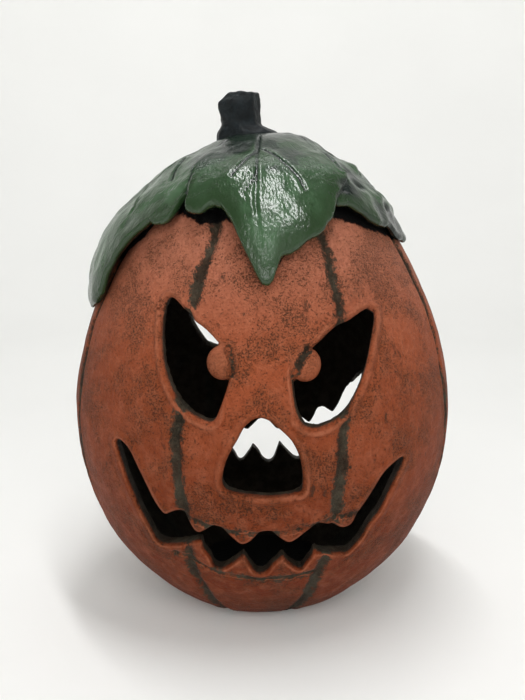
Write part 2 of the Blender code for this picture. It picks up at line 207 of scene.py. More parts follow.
# The front leaf laps over its neighbours along these lines: azimuth and angle down.
LEFT_LAP = ((-45, 14), (-43.5, 26), (-40, 34), (-35, 41), (-33, 47))
RIGHT_LAP = ((54, 12), (52, 26), (48, 36), (42, 42), (35, 46), (30.5, 49))
LAP_LIFT = 2.4
CROWN_LIFT = 3.0
SEAT_HEIGHT = 254.3
SEAT_OUTER_RADIUS = 59.5
COLLAR = (
    (44.5, 254.3), (44.5, 246.0), (43.3, 244.8), (39.2, 244.8), (38.0, 246.0), (38.0, 259.0), (23.0, 269.0),
)
CROWN_UNDERSIDE = 273.0
NIBBLE_DEG = 0.8
# Hand-made waves in the leaves: size and height in millimetres.
LEAF_WAVES = ((20, 1.3), (7, 0.5))
VEIN_HALF_WIDTH = 0.8
# Millimetres to a degree round and down the leaves, for the brush marks.
BRUSH_ROUND = 1.3
BRUSH_DOWN = 1.75

# Veins pressed into the leaves: azimuth and angle down from the top.
VEINS = (
    ((-3.8, 12), (-3.5, 24), (-2.8, 39), (-2.5, 52), (-0.5, 66)),
    ((0.4, 25.7), (6, 29), (10.4, 33), (13.7, 37.8), (16.4, 42.4), (17, 46.6)),
    ((-3, 40.7), (-5.3, 44.2), (-7.5, 48.5)),
    ((-3.5, 27), (-9, 33), (-14, 41)),
    ((59.5, 14.6), (53, 20), (49, 25.4), (44, 32.3), (42.5, 38.5)),
    ((-77, 12), (-74, 24), (-70, 33), (-72, 48), (-76, 64), (-77, 78)),
    ((-66, 29), (-55, 37), (-50, 41)),
    ((-70, 44), (-61.5, 52), (-59, 55)),
    ((-73, 42), (-86, 50), (-94, 60)),
    ((82, 12), (80, 26), (78, 40), (76, 56)),
    ((80, 30), (68, 38), (62, 48)),
    ((79, 36), (94, 44), (102, 52)),
    ((125, 20), (125, 36), (125, 48)),
    ((-124, 20), (-124, 36), (-124, 48)),
    ((178, 12), (180, 30), (177, 50), (176, 68)),
    ((180, 26), (164, 36), (156, 46)),
    ((180, 30), (197, 40), (206, 50)),
)
# Hollows pressed into the right leaf: azimuth, angle down, breadth in millimetres and depth.
DENTS = ((51, 43, 7, 2.2), (64, 52, 6, 2.0), (37, 45, 6, 1.2), (72, 40, 8, 1.4), (-58, 60, 8, 1.2))

# Touches where the coat shows through the green: azimuth, angle down, breadth in millimetres, strength.
BARE_COAT = ((-23, 23, 11, 0.3), (41, 45, 8, 0.26), (51, 35, 7, 0.24), (-42, 30, 6, 0.2), (66, 54, 11, 0.16))

# Stem rings: centre across, centre out, height, half width, half depth, twist in degrees.
STEM_SIDES = 7
STEM_RINGS = (
    (-9, 4, 272, 21, 18, 8),
    (-9, 4, 283.8, 20, 15.5, 8),
    (-12.8, 3, 288.5, 12.4, 11.5, 4),
    (-13.7, 2, 294, 12.8, 11.5, 2),
    (-14.4, 1.5, 301, 13.4, 12, 0),
    (-11.4, 1.5, 306.8, 9.2, 9.5, 0),
)
# Lumps on the stem, size and height, and the longest edge of its mesh, in millimetres.
STEM_LUMPS = ((6, 0.6), (2, 0.3))
STEM_EDGE = 1.2

# Soft boxes: name, place, spot they face, breadth and length in metres, power in watts, and whether
# they show in shiny surfaces.
SOFT_BOXES = (
    ("overhead", (0.05, -0.15, 1.2), (0.0, -0.05, 0.0), 0.08, 0.8, 5.8, True),
    ("strip", (0.02, -0.85, 0.85), (0.0, 0.0, 0.2), 0.05, 0.7, 1.2, True),
    ("front", (0.04, -1.2, 0.65), (0.0, 0.0, 0.12), 1.9, 0.8, 9.2, False),
    ("wall", (0.0, 0.6, 1.5), (0.0, 1.7, 0.5), 1.1, 0.6, 7.2, True),
)
SKY_STRENGTH = 0.14
FLOOR_RADIUS = 1000.0
BEND_RADIUS = 700.0
WALL_HEIGHT = 2400.0
BEND_STEPS = 12
BACKDROP_COLUMNS = 96
CAMERA_TILT_DEG = 11

# Every length setting is shown as a distance.
LENGTH = {"unit": "LENGTH", "subtype": "DISTANCE"}


class LanternBody(bpy.types.PropertyGroup):
    """Sizes of the hollow body."""

    radius: FloatProperty(
        name="Radius", description="Largest outer radius", default=BODY_HIGH.x, **LENGTH,
    )
    height: FloatProperty(name="Height", description="Height of the rim", default=BODY_HIGH.z, **LENGTH)
    wall: FloatProperty(name="Wall", description="Thickness of the clay", default=9 * MM, **LENGTH)
    grain: FloatProperty(
        name="Mesh Size", description="Spacing of the skin's points", default=2.0 * MM, **LENGTH,
    )
    groove_depth: FloatProperty(
        name="Groove Depth", description="Depth of the eight grooves", default=1.8 * MM, **LENGTH,
    )
    edge_rounding: FloatProperty(
        name="Edge Rounding", description="Radius wiped onto the cut edges", default=2.2 * MM, **LENGTH,
    )
    rim_height: FloatProperty(
        name="Rim Height", description="Height of the ridge round each opening", default=1.3 * MM, **LENGTH,
    )


class LanternLid(bpy.types.PropertyGroup):
    """Sizes of the leaf lid and stem."""

    columns: IntProperty(name="Columns", description="Lines of points round the lid", default=440)
    rows: IntProperty(name="Rows", description="Points from the crown to a leaf's edge", default=150)
    vein_depth: FloatProperty(
        name="Vein Depth", description="Depth of the pressed veins", default=1.0 * MM, **LENGTH,
    )
    stem_bevel: FloatProperty(
        name="Stem Bevel", description="Rounding of the stem's corners", default=1.1 * MM, **LENGTH,
    )


class LanternPaint(bpy.types.PropertyGroup):
    """Paint and glaze colours as sRGB hex values."""

    orange: StringProperty(name="Orange", description="Main matt orange", default="9D5132")
    # Light orange is used for chalky touches and as the painted highlight on the lips and pupils.
    orange_light: StringProperty(name="Light Orange", description="Chalky touches", default="AE6A4E")
    # Deep orange is used for tone drift and grain, and as painted shade low on the body.
    orange_dark: StringProperty(name="Deep Orange", description="Orange low on the body", default="66280D")
    # Pale orange is a painted sheen near the top of the body.
    orange_sheen: StringProperty(name="Pale Orange", description="Chalky orange high up", default="BC7C64")
    umber: StringProperty(name="Umber", description="Orange rubbed thin", default="6A4528")
    undercoat: StringProperty(name="Undercoat", description="Coat under the orange", default="2C261D")
    patina: StringProperty(name="Patina", description="Grey-green wash in the grooves", default="403D32")
    # Near-black for the inside of the body, also used as the painted shadow under the leaves and on their
    # undersides.
    inside: StringProperty(name="Inside", description="Soot-black inside", default="070707")
    leaf: StringProperty(name="Leaf", description="Leaf green", default="2D442B")
    leaf_light: StringProperty(name="Light Leaf", description="Wiped lighter green", default="3B573B")
    leaf_dark: StringProperty(name="Dark Leaf", description="Thin dark green", default="1E3118")
    leaf_coat: StringProperty(name="Leaf Coat", description="Blue-black in the hollows", default="151B1B")
    stem: StringProperty(name="Stem", description="Blue-black stem", default="0F1315")
    stem_light: StringProperty(name="Light Stem", description="Rubbed blue-grey", default="1E2528")


class LanternStage(bpy.types.PropertyGroup):
    """Camera and light."""

    camera_place: FloatVectorProperty(
        name="Camera", description="Where the camera stands", default=(0.0, -0.4905, 0.2473), unit="LENGTH",
        subtype="TRANSLATION",
    )
    camera_tilt: FloatProperty(
        name="Tilt", description="Angle looking down", default=math.radians(CAMERA_TILT_DEG), unit="ROTATION",
        subtype="ANGLE",
    )
    lens: FloatProperty(name="Lens", description="Focal length in millimetres", default=40.97)
    light: FloatProperty(name="Light", description="Brightness of all the lights", default=1.0)
    floor: StringProperty(name="Floor", description="Pale floor and wall", default="F4F4F2")
    floor_light: StringProperty(name="Light Floor", description="Paler drift of the floor", default="FAFAF8")


def hex_linear(text):
    """Linear colour of an sRGB hex value."""
    parts = [int(text[at:at + 2], 16) / 255 for at in (0, 2, 4)]
    return (*[part / 12.92 if part <= 0.04045 else ((part + 0.055) / 1.055) ** 2.4 for part in parts], 1.0)


def add_node(tree, kind, inputs=(), out=0, **settings):
    """Add a node, set its properties, set or link its inputs, and return one of its outputs.

    A colour is given as an sRGB hex value.
    """
    node = tree.nodes.new("ShaderNode" + kind)
    for name, value in settings.items():
        setattr(node, name, value)
    pairs = inputs.items() if isinstance(inputs, dict) else enumerate(inputs)
    for name, value in pairs:
        if isinstance(value, bpy.types.NodeSocket):
            tree.links.new(value, node.inputs[name])
        else:
            node.inputs[name].default_value = hex_linear(value) if isinstance(value, str) else value
    return node.outputs[out]


def per_mm(size):
    """Texture scale whose features are about that many millimetres across."""
    return 1000 / size


def shell_radius(height):
    """Outer radius of the egg at a height, both in millimetres."""
    rise = height - WIDEST_HEIGHT
    above = 1 - (np.clip(rise, 0, UPPER_REACH) / UPPER_REACH) ** UPPER_POWER
    below = np.sqrt(np.clip(1 - (np.clip(rise, -LOWER_REACH, 0) / LOWER_REACH) ** 2, 0, 1))
    return BODY_HIGH.x / MM * np.where(rise > 0, above, below)


def shell_slope(height):
    """How fast the outer radius changes with height."""
    return (shell_radius(height + 0.05) - shell_radius(height - 0.05)) / 0.1


def smooth_loop(points, samples):
    """A smooth closed curve through given points."""
    here = np.array(points, float)
    before = np.roll(here, 1, 0)
    after = np.roll(here, -1, 0)
    beyond = np.roll(here, -2, 0)
    share = np.linspace(0, 1, samples, endpoint=False)[:, None, None]
    curve = here + 0.5 * share * (
        after - before
        + share * (2 * before - 5 * here + 4 * after - beyond)
        + share ** 2 * (3 * here - before - 3 * after + beyond)
    )
    return curve.transpose(1, 0, 2).reshape(-1, 2)


def face_loops():
    """Smooth outlines of the eyes, nose and mouth."""
    return [smooth_loop(loop, OUTLINE_SAMPLES) for loop in (LEFT_EYE, RIGHT_EYE, NOSE, UPPER_LIP + LOWER_LIP)]


class OpeningField:
    """Signed distance in millimetres to the openings in the front view, positive inside them."""

    def __init__(self, loops, low=(-95.0, 30.0), high=(95.0, 212.0), step=0.5):
        self.low = low
        self.step = step
        across = np.arange(low[0], high[0], step)
        height = np.arange(low[1], high[1], step)
        grid_x, grid_z = np.meshgrid(across, height, indexing="ij")
        nearest = np.full(grid_x.shape, 1e9)
        inside = np.zeros(grid_x.shape, bool)
        for loop in loops:
            for start, end in zip(loop, np.roll(loop, -1, 0)):
                run = end - start
                share = ((grid_x - start[0]) * run[0] + (grid_z - start[1]) * run[1]) / max(run @ run, 1e-9)
                share = np.clip(share, 0, 1)
                gap = (grid_x - start[0] - share * run[0]) ** 2 + (grid_z - start[1] - share * run[1]) ** 2
                nearest = np.minimum(nearest, gap)
                spans = (start[1] > grid_z) != (end[1] > grid_z)
                rise = run[1] if abs(run[1]) > 1e-9 else 1e-9
                inside ^= spans & (grid_x < start[0] + (grid_z - start[1]) * run[0] / rise)
        signed = np.sqrt(nearest) * np.where(inside, 1, -1)
        self.values = self.soften(signed)

    @staticmethod
    def soften(values):
        """Round the corners a little, as a wet sponge does."""
        for _ in range(2):
            for axis in (0, 1):
                values = (np.roll(values, 1, axis) + 2 * values + np.roll(values, -1, axis)) / 4
        return values

    def at(self, across, height):
        """Distance at many places."""
        col = np.clip((across - self.low[0]) / self.step, 0, self.values.shape[0] - 1.001)
        row = np.clip((height - self.low[1]) / self.step, 0, self.values.shape[1] - 1.001)
        col0 = col.astype(int)
        row0 = row.astype(int)
        part_x = col - col0
        part_z = row - row0
        near = self.values[col0, row0] * (1 - part_z) + self.values[col0, row0 + 1] * part_z
        far = self.values[col0 + 1, row0] * (1 - part_z) + self.values[col0 + 1, row0 + 1] * part_z
        return near * (1 - part_x) + far * part_x


def smooth_step(low, high, value):
    """Rise from 0 to 1 between two values."""
    share = np.clip((value - low) / (high - low), 0, 1)
    return share * share * (3 - 2 * share)


def bell(distance, width):
    """A smooth hill, 1 in the middle."""
    return np.exp(-(distance / width) ** 2)


def to_front(spots):
    """Places on the back half carried to the front face that was turned onto them."""
    turn = math.radians(BACK_FACE_TILT_DEG)
    across = spots[:, 0]
    height = spots[:, 2] - BACK_FACE_PIVOT
    flat_x = across * math.cos(turn) - height * math.sin(turn)
    flat_z = across * math.sin(turn) + height * math.cos(turn)
    turned = np.stack([-flat_x, -spots[:, 1], flat_z + BACK_FACE_PIVOT], 1)
    return np.where(spots[:, 1:2] > 0, turned, spots)


def opening_gap(field, front, at_back):
    """Distance to the nearest opening's edge, positive inside it, with the front eyes cut on a slant."""
    high = smooth_step(EYES_ABOVE - EYES_BLEND, EYES_ABOVE + EYES_BLEND, front[:, 2])
    slant = EYE_SLANT * high * ~at_back
    across = front[:, 0] - slant * (front[:, 1] - EYE_SLANT_FROM)
    change = np.interp(front[:, 2], *zip(*BACK_CHANGE))
    narrow = smooth_step(*BACK_NARROW_FROM, front[:, 0])
    narrowed = np.minimum(change, change * (1 - narrow) + BACK_NARROW_ARM * narrow)
    change = np.where(front[:, 0] > BACK_NARROW_FROM[0], narrowed, change)
    wide = smooth_step(*BACK_WIDE_FROM, -front[:, 0]) * (1 - smooth_step(*BACK_WIDE_UP_TO, front[:, 2]))
    change = change * (1 - wide) + BACK_WIDE_ARM * wide
    return field.at(across, front[:, 2]) + change * at_back


def azimuth_of(spots):
    """Degrees round from the front, positive to the right."""
    return np.degrees(np.arctan2(spots[:, 0], -spots[:, 1]))


def groove_gap(spots):
    """Distance round the body to the nearest groove, in millimetres."""
    azimuth = azimuth_of(spots)
    height = spots[:, 2]
    radius = np.hypot(spots[:, 0], spots[:, 1])
    lines = [np.interp(height, *zip(*LEFT_GROOVE)), np.interp(height, *zip(*RIGHT_GROOVE))]
    lines += [np.full_like(height, line) for line in STRAIGHT_GROOVES_DEG]
    wobble = [0.45 * np.sin(height / 11 + 2 * turn) + 0.25 * np.sin(height / 4.3 + turn) for turn in range(8)]
    gap = np.min([np.abs((azimuth - line - wave + 180) % 360 - 180) for line, wave in zip(lines, wobble)], 0)
    return np.radians(gap) * radius


def line_gap(points, line):
    """Distance from points to a line of straight runs, in two or three dimensions."""
    nearest = np.full(len(points), 1e9)
    for start, end in zip(line, line[1:]):
        run = end - start
        share = np.clip(((points - start) @ run) / (run @ run), 0, 1)
        nearest = np.minimum(nearest, np.linalg.norm(points - start - share[:, None] * run, axis=1))
    return nearest


def scored_lines(front):
    """Depth scored into the clay, and distance to the nearest scored line."""
    depth = np.zeros(len(front))
    nearest = np.full(len(front), 1e9)
    flat = front[:, [0, 2]]
    on_face = front[:, 1] < -60
    for line, deepest, half_width in SCORED:
        gap = np.where(on_face, line_gap(flat, np.array(line, float)), 1e3)
        depth = np.maximum(depth, deepest * bell(gap, half_width * 0.7))
        nearest = np.minimum(nearest, gap + WASH_REACH - half_width)
    return depth, nearest


def pupil_gap(front):
    """Rough distance to the surface of the nearest pupil."""
    reach = [np.linalg.norm((front - centre) / PUPIL_HALF_SIZE, axis=1) for centre in PUPIL_CENTRES]
    return (np.min(reach, 0) - 1) * min(PUPIL_HALF_SIZE)


def round_join(first, second, radius):
    """Overlap of two solids with a rounded corner."""
    both = np.stack([first + radius, second + radius])
    corner = np.linalg.norm(np.maximum(both, 0), axis=0)
    return np.minimum(-radius, np.maximum(first, second)) + corner


def soft_union(first, second, radius):
    """Union of two solids with a small fillet."""
    share = np.clip(0.5 + 0.5 * (second - first) / radius, 0, 1)
    return second * (1 - share) + first * share - radius * share * (1 - share)


def skin_height(spots):
    """Height above the plain egg, in millimetres."""
    height = spots[:, 2]
    return (np.hypot(spots[:, 0], spots[:, 1]) - shell_radius(height)) / np.sqrt(1 + shell_slope(height) ** 2)


def lip_strength(front):
    """How far the lips stand up: fully round the nose and outside the eyes, little round the mouth."""
    across = np.abs(front[:, 0])
    beside = smooth_step(30, 42, across) * (1 - smooth_step(124, 134, front[:, 2]))
    inner = (1 - smooth_step(22, 32, across)) * smooth_step(138, 146, front[:, 2])
    return (0.35 + 0.65 * smooth_step(88, 98, front[:, 2]) * (1 - beside)) * (1 - 0.85 * inner)


def body_distance(field, spots, settings, waves):
    """Signed distance to the finished clay, negative inside it, all in millimetres."""
    egg = skin_height(spots)
    front = to_front(spots)
    opening = opening_gap(field, front, spots[:, 1] > 0)
    groove = groove_gap(spots)
    scored, _ = scored_lines(front)
    relief = waves - settings.groove_depth / MM * bell(groove, GROOVE_HALF_WIDTH)
    relief += BANK_HEIGHT * bell(groove - BANK_DISTANCE, BANK_HALF_WIDTH)
    lip = bell(opening + LIP_DISTANCE, LIP_HALF_WIDTH)
    lip -= TROUGH_SHARE * bell(opening + TROUGH_DISTANCE, TROUGH_HALF_WIDTH)
    relief += settings.rim_height / MM * lip * lip_strength(front)
    outer = egg - relief + scored
    clay = np.maximum(outer, -(egg + settings.wall / MM))
    clay = np.maximum(clay, round_join(outer, opening, settings.edge_rounding / MM))
    return soft_union(clay, pupil_gap(front) + scored, PUPIL_FILLET)


def settle_on_surface(field, spots, settings, waves, rounds, probe=0.03, longest=1.2):
    """Slide points onto the finished clay surface."""
    for _ in range(rounds):
        gap = body_distance(field, spots, settings, waves)
        slope = np.stack([
            (body_distance(field, spots + probe * step, settings, waves) - gap) / probe for step in np.eye(3)
        ], 1)
        move = gap / np.maximum((slope ** 2).sum(1), 0.2)
        spots = spots - np.clip(move, -longest, longest)[:, None] * slope
    return spots


def link_object(name, mesh_data):
    """Put a mesh in the scene as a named object."""
    item = bpy.data.objects.new(name, mesh_data)
    bpy.context.scene.collection.objects.link(item)
    return item


def mesh_from(name, mesh):
    """Turn a bmesh into mesh data."""
    data = bpy.data.meshes.new(name)
    mesh.to_mesh(data)
    mesh.free()
    return data


def spin_profile(points, columns):
    """Turn a radius and height profile in millimetres about +Z, each point marked with its row."""
    mesh = bmesh.new()
    row_of = mesh.verts.layers.int.new("row")
    verts = [mesh.verts.new((radius * MM, 0, height * MM)) for radius, height in points]
    for row, vert in enumerate(verts):
        vert[row_of] = row
    edges = [mesh.edges.new(pair) for pair in zip(verts, verts[1:])]
    bmesh.ops.spin(
        mesh, geom=verts + edges, cent=(0, 0, 0), axis=(0, 0, 1),
        angle=math.tau, steps=columns, use_merge=True, use_duplicate=False,
    )
    bmesh.ops.remove_doubles(mesh, verts=mesh.verts, dist=0.01 * MM)
    bmesh.ops.recalc_face_normals(mesh, faces=mesh.faces)
    return mesh


def body_profile(settings):
    """Radius and height from the foot's centre, up outside, over the rim and down inside."""
    wall = settings.wall / MM
    rim = settings.height / MM
    foot_turn = math.asin(WIDEST_HEIGHT / LOWER_REACH)
    low = WIDEST_HEIGHT - LOWER_REACH * np.sin(foot_turn * np.linspace(1, 0, 24, endpoint=False))
    heights = np.concatenate([low, np.linspace(WIDEST_HEIGHT, rim - RIM_ROUNDING, 30)])
    outer = list(zip(shell_radius(heights), np.maximum(heights, 0)))
    length = np.sqrt(1 + shell_slope(heights) ** 2)
    inner = list(zip(
        shell_radius(heights) - wall / length,
        np.maximum(heights + wall * shell_slope(heights) / length, wall),
    ))
    points = [(0, 0), *outer, (RIM_OUTER_RADIUS, rim), (RIM_INNER_RADIUS, rim)]
    points.append((RIM_INNER_RADIUS - RIM_ROUNDING, rim - RIM_ROUNDING))
    points.append((RIM_INNER_RADIUS - RIM_ROUNDING, inner[-1][1] + RIM_ROUNDING))
    return points + inner[::-1] + [(0, wall)]


def face_cutters(loops):
    """The openings as closed bars through the front wall."""
    mesh = bmesh.new()
    for loop in loops:
        ring = [mesh.verts.new((x * MM, CUT_START * MM, z * MM)) for x, z in loop]
        grown = bmesh.ops.extrude_face_region(mesh, geom=[mesh.faces.new(ring)])
        moved = [item for item in grown["geom"] if isinstance(item, bmesh.types.BMVert)]
        bmesh.ops.translate(mesh, verts=moved, vec=(0, (CUT_END - CUT_START) * MM, 0))
    bmesh.ops.recalc_face_normals(mesh, faces=mesh.faces)
    return mesh


def pupil_knobs():
    """The two knobs of clay."""
    mesh = bmesh.new()
    for centre in PUPIL_CENTRES:
        size = Matrix.Diagonal((Vector(PUPIL_HALF_SIZE) * MM).to_4d())
        place = Matrix.Translation(Vector(centre) * MM)
        bmesh.ops.create_uvsphere(mesh, u_segments=32, v_segments=20, radius=1, matrix=place @ size)
    return mesh


def turned_to_back():
    """Matrix that carries the front face to the back."""
    pivot = Matrix.Translation((0, 0, BACK_FACE_PIVOT * MM))
    tilt = Matrix.Rotation(math.radians(BACK_FACE_TILT_DEG), 4, "Y")
    return pivot @ tilt @ pivot.inverted() @ Matrix.Rotation(math.pi, 4, "Z")


def apply_modifiers(item):
    """Replace an object's mesh by what its modifiers make of it."""
    graph = bpy.context.evaluated_depsgraph_get()
    finished = bpy.data.meshes.new_from_object(item.evaluated_get(graph))
    old = item.data
    item.modifiers.clear()
    item.data = finished
    bpy.data.meshes.remove(old)


def combine(item, helpers):
    """Cut or join helper meshes, given with their operation, and remove them."""
    made = []
    for mesh, operation in helpers:
        helper = link_object("helper", mesh_from("helper", mesh))
        boolean = item.modifiers.new(operation, "BOOLEAN")
        boolean.operation = operation
        boolean.solver = "EXACT"
        boolean.object = helper
        made.append(helper)
    apply_modifiers(item)
    for helper in made:
        bpy.data.objects.remove(helper)


def read_points(data):
    """Vertex places in millimetres."""
    flat = np.empty(len(data.vertices) * 3)
    data.vertices.foreach_get("co", flat)
    return flat.reshape(-1, 3) / MM


def write_points(data, spots):
    """Set vertex places in millimetres."""
    data.vertices.foreach_set("co", (spots * MM).ravel())
    data.update()


def write_marks(data, marks):
    """Store paint guides, one value each from 0 to 1 in red, green, blue and alpha."""
    layer = data.color_attributes.new("paint", "FLOAT_COLOR", "POINT")
    layer.data.foreach_set("color", np.clip(np.stack(marks, 1), 0, 1).astype(np.float32).ravel())


def uneven(spots, size, height):
    """Slow hand-made unevenness in millimetres at many places."""
    return np.array([height * noise.noise(Vector(spot) / size) for spot in spots])


def refine(data, chosen):
    """Halve the mesh where points are chosen."""
    mesh = bmesh.new()
    mesh.from_mesh(data)
    mesh.verts.ensure_lookup_table()
    edges = [edge for edge in mesh.edges if chosen[edge.verts[0].index] and chosen[edge.verts[1].index]]
    bmesh.ops.subdivide_edges(mesh, edges=edges, cuts=1, use_grid_fill=True)
    mesh.to_mesh(data)
    mesh.free()


def near_detail(field, spots):
    """Which points lie where the carving needs a finer mesh."""
    front = to_front(spots)
    opening = np.abs(opening_gap(field, front, spots[:, 1] > 0))
    _, scored = scored_lines(front)
    outside = skin_height(spots) > -7
    return outside & ((opening < 6.5) | (groove_gap(spots) < 3.5) | (scored < 3) | (pupil_gap(front) < 2))


def leaf_shade(spots):
    """How far below the edge of the painted shadow under the leaves each place is, in degrees."""
    down = np.degrees(np.arctan2(np.hypot(spots[:, 0], spots[:, 1]), spots[:, 2] - DOME_CENTRE))
    return down - np.interp(azimuth_of(spots), *zip(*LEAF_SHADE_DEG))


def body_marks(field, spots):
    """Distance to a groove or scored line, to an opening and below the skin, over 10 mm, and the mark for the
    painted shadow under the leaves.

    The orange runs over the sill of the nose.
    """
    front = to_front(spots)
    _, scored = scored_lines(front)
    groove = np.minimum(groove_gap(spots), scored)
    depth = -skin_height(spots)
    on_pupil = pupil_gap(front) < 0.8
    centre_out = PUPIL_CENTRES[0][1]
    depth = np.where(on_pupil, np.minimum(depth, front[:, 1] - centre_out + 2.5), depth)
    opening = -opening_gap(field, front, spots[:, 1] > 0)
    # Low lips, as round the mouth, are moved out of reach of the painted lip highlight.
    opening += 3 * (1 - lip_strength(front)) * smooth_step(0.5, 2, opening)
    sill = smooth_step(-SILL_END, -SILL_HALF_WIDTH, -np.abs(front[:, 0])) * (front[:, 1] < 0)
    sill = sill * bell(front[:, 2] - SILL_HEIGHT, SILL_SPREAD)
    depth = depth - 2.2 * sill
    # Pupils take the brightest painted lip highlight, and scored lines almost none.
    opening = np.where(on_pupil, LIP_HIGHLIGHT_AT, opening + 1.6 * sill)
    opening = np.where(scored < WASH_REACH, NO_LIP_HIGHLIGHT_AT, opening)
    return [groove / 10, opening / 10, depth / 10, 0.5 + leaf_shade(spots) / 12]


def make_body(settings):
    """The hollow pumpkin with both faces cut, wiped and marked for paint."""
    loops = face_loops()
    field = OpeningField(loops)
    body = link_object("pumpkin", mesh_from("pumpkin", spin_profile(body_profile(settings), BODY_COLUMNS)))
    helpers = []
    back_loops = [loop[loop[:, 0] < BACK_MOUTH_END] for loop in loops]
    for turn, outlines in ((Matrix.Identity(4), loops), (turned_to_back(), back_loops)):
        for mesh, operation in ((face_cutters(outlines), "DIFFERENCE"), (pupil_knobs(), "UNION")):
            mesh.transform(turn)
            helpers.append((mesh, operation))
    combine(body, helpers)
    remesh = body.modifiers.new("skin", "REMESH")
    remesh.mode = "VOXEL"
    remesh.voxel_size = settings.grain
    apply_modifiers(body)
    for rounds in (5, 4):
        spots = read_points(body.data)
        waves = sum(uneven(spots, size, height) for size, height in BODY_WAVES)
        settled = settle_on_surface(field, spots, settings, waves, rounds)
        near_middle = np.hypot(spots[:, 0], spots[:, 1]) < STILL_RADIUS
        still = smooth_step(*STILL_RIM, spots[:, 2]) + (spots[:, 2] < STILL_FOOT) + near_middle
        still = np.clip(still, 0, 1)[:, None]
        spots = settled * (1 - still) + spots * still
        write_points(body.data, spots)
        if rounds == 5:
            refine(body.data, near_detail(field, spots))
    write_marks(body.data, body_marks(field, spots))
    body.data.shade_smooth()
    return body


def leaf_edge_angle(azimuth):
    """Angle down from the top at which the leaves end, with small nibbles."""
    start = LEAF_EDGE_DEG[0][0]
    angles = [start + (value - start) % 360 for value in azimuth]
    edge = np.interp(angles, *zip(*LEAF_EDGE_DEG))
    turns = [math.radians(angle) for angle in angles]
    nibbles = [noise.noise(Vector((math.cos(turn), math.sin(turn), 0)) * 14) for turn in turns]
    return edge + NIBBLE_DEG * np.array(nibbles)


def hump(value, centre, spread):
    """A smooth rise from 0 at the spread to 1 at the centre."""
    share = np.minimum(1.0, np.abs(value - centre) / spread)
    return 0.5 + 0.5 * np.cos(np.pi * share)


def body_reach(down):
    """Distance from the dome's centre to the pumpkin along a direction, in millimetres."""
    lean = np.radians(down)
    reach = np.full(np.shape(down), BODY_HIGH.x / MM)
    for _ in range(8):
        reach = shell_radius(DOME_CENTRE + reach * np.cos(lean)) / np.maximum(0.5, np.sin(lean))
    return reach


def leaf_reach(azimuth, down):
    """Distance from the dome's centre to the top of the leaves, in millimetres."""
    left = hump(azimuth, LEFT_LEAF_DEG, LEAF_SPREAD_DEG) * hump(down, LEFT_LEAF_LIFT_AT_DEG, 40)
    right = hump(azimuth, RIGHT_LEAF_DEG, LEAF_SPREAD_DEG) * hump(down, RIGHT_LEAF_DROP_AT_DEG, 40)
    reach = DOME_RADIUS + LEFT_LEAF_LIFT * left - RIGHT_LEAF_DROP * right
    floor = body_reach(down) + BODY_CLEARANCE + LEAF_TIP_THICKNESS
    return np.where(down < 45, reach, np.maximum(reach, floor))


def underside_reach(azimuth, down):
    """Distance from the dome's centre to the bottom of the leaves, in millimetres."""
    reach = leaf_reach(azimuth, down) - LEAF_THICKNESS
    return np.where(down < 45, reach, np.maximum(reach, body_reach(down) + BODY_CLEARANCE))


def dome_spots(azimuth, down, reach):
    """Places at azimuths, angles down from the top and reaches, from the dome's centre."""
    lean = np.radians(down)
    turn = np.radians(azimuth)
    radius = reach * np.sin(lean)
    return np.stack([radius * np.sin(turn), -radius * np.cos(turn), reach * np.cos(lean)], -1)


def vein_gap(azimuth, down):
    """Distance over the dome to the nearest vein, in millimetres."""
    points = dome_spots(azimuth, down, DOME_RADIUS)
    gaps = [line_gap(points, dome_spots(*np.array(vein, float).T, DOME_RADIUS)) for vein in VEINS]
    return np.min(gaps, 0)


def lap_gap(azimuth, down):
    """Distance inside the front leaf's two laps, in millimetres, negative outside."""
    left = azimuth - np.interp(down, *zip(*[(low, turn) for turn, low in LEFT_LAP]))
    right = np.interp(down, *zip(*[(low, turn) for turn, low in RIGHT_LAP])) - azimuth
    return np.radians(np.minimum(left, right)) * DOME_RADIUS * np.sin(np.radians(down))


def touch_gap(azimuth, down, turn, low):
    """Distance over the dome to a spot at an azimuth and angle down, in millimetres."""
    centre = dome_spots(np.array([turn]), np.array([low]), DOME_RADIUS)
    return np.linalg.norm(dome_spots(azimuth, down, DOME_RADIUS) - centre, axis=1)


def bare_coat(azimuth, down):
    """How far the dark coat shows through the green."""
    touches = [strength * bell(touch_gap(azimuth, down, turn, low), breadth)
               for turn, low, breadth, strength in BARE_COAT]
    return np.sum(touches, 0)


def leaf_relief(azimuth, down, settings):
    """Height pressed into the top of the leaves, in millimetres, and distance to the nearest dark line."""
    vein = vein_gap(azimuth, down)
    lap = lap_gap(azimuth, down)
    shallow = smooth_step(10, 24, down) * (1 - 0.6 * smooth_step(50, 62, down))
    relief = shallow * (-settings.vein_depth / MM * bell(vein, VEIN_HALF_WIDTH) + 0.3 * bell(vein - 2.2, 1.2))
    relief -= 0.9 * shallow * bell(lap + 0.4, 0.9)
    for turn, low, breadth, depth in DENTS:
        relief -= depth * bell(touch_gap(azimuth, down, turn, low), breadth * 0.6)
    spots = dome_spots(azimuth, down, DOME_RADIUS)
    crumple = 1 + 1.2 * hump(azimuth, RIGHT_LEAF_DEG, 45) - 0.5 * hump(azimuth, 0, 50)
    relief += crumple * sum(uneven(spots, size, height) for size, height in LEAF_WAVES)
    return relief, np.minimum(vein, 0.6 * np.abs(lap + 0.6) + 0.1)


def lid_rows(settings):
    """Rows down one line of the lid: share of the way to the edge, and place across the thickness."""
    over = [(row / settings.rows, 1.0) for row in range(1, settings.rows + 1)]
    round_edge = [(1.0, math.cos(math.pi * step / 6)) for step in range(1, 6)]
    under = [(1 - row / 24, -1.0) for row in range(24)]
    return over + round_edge + under


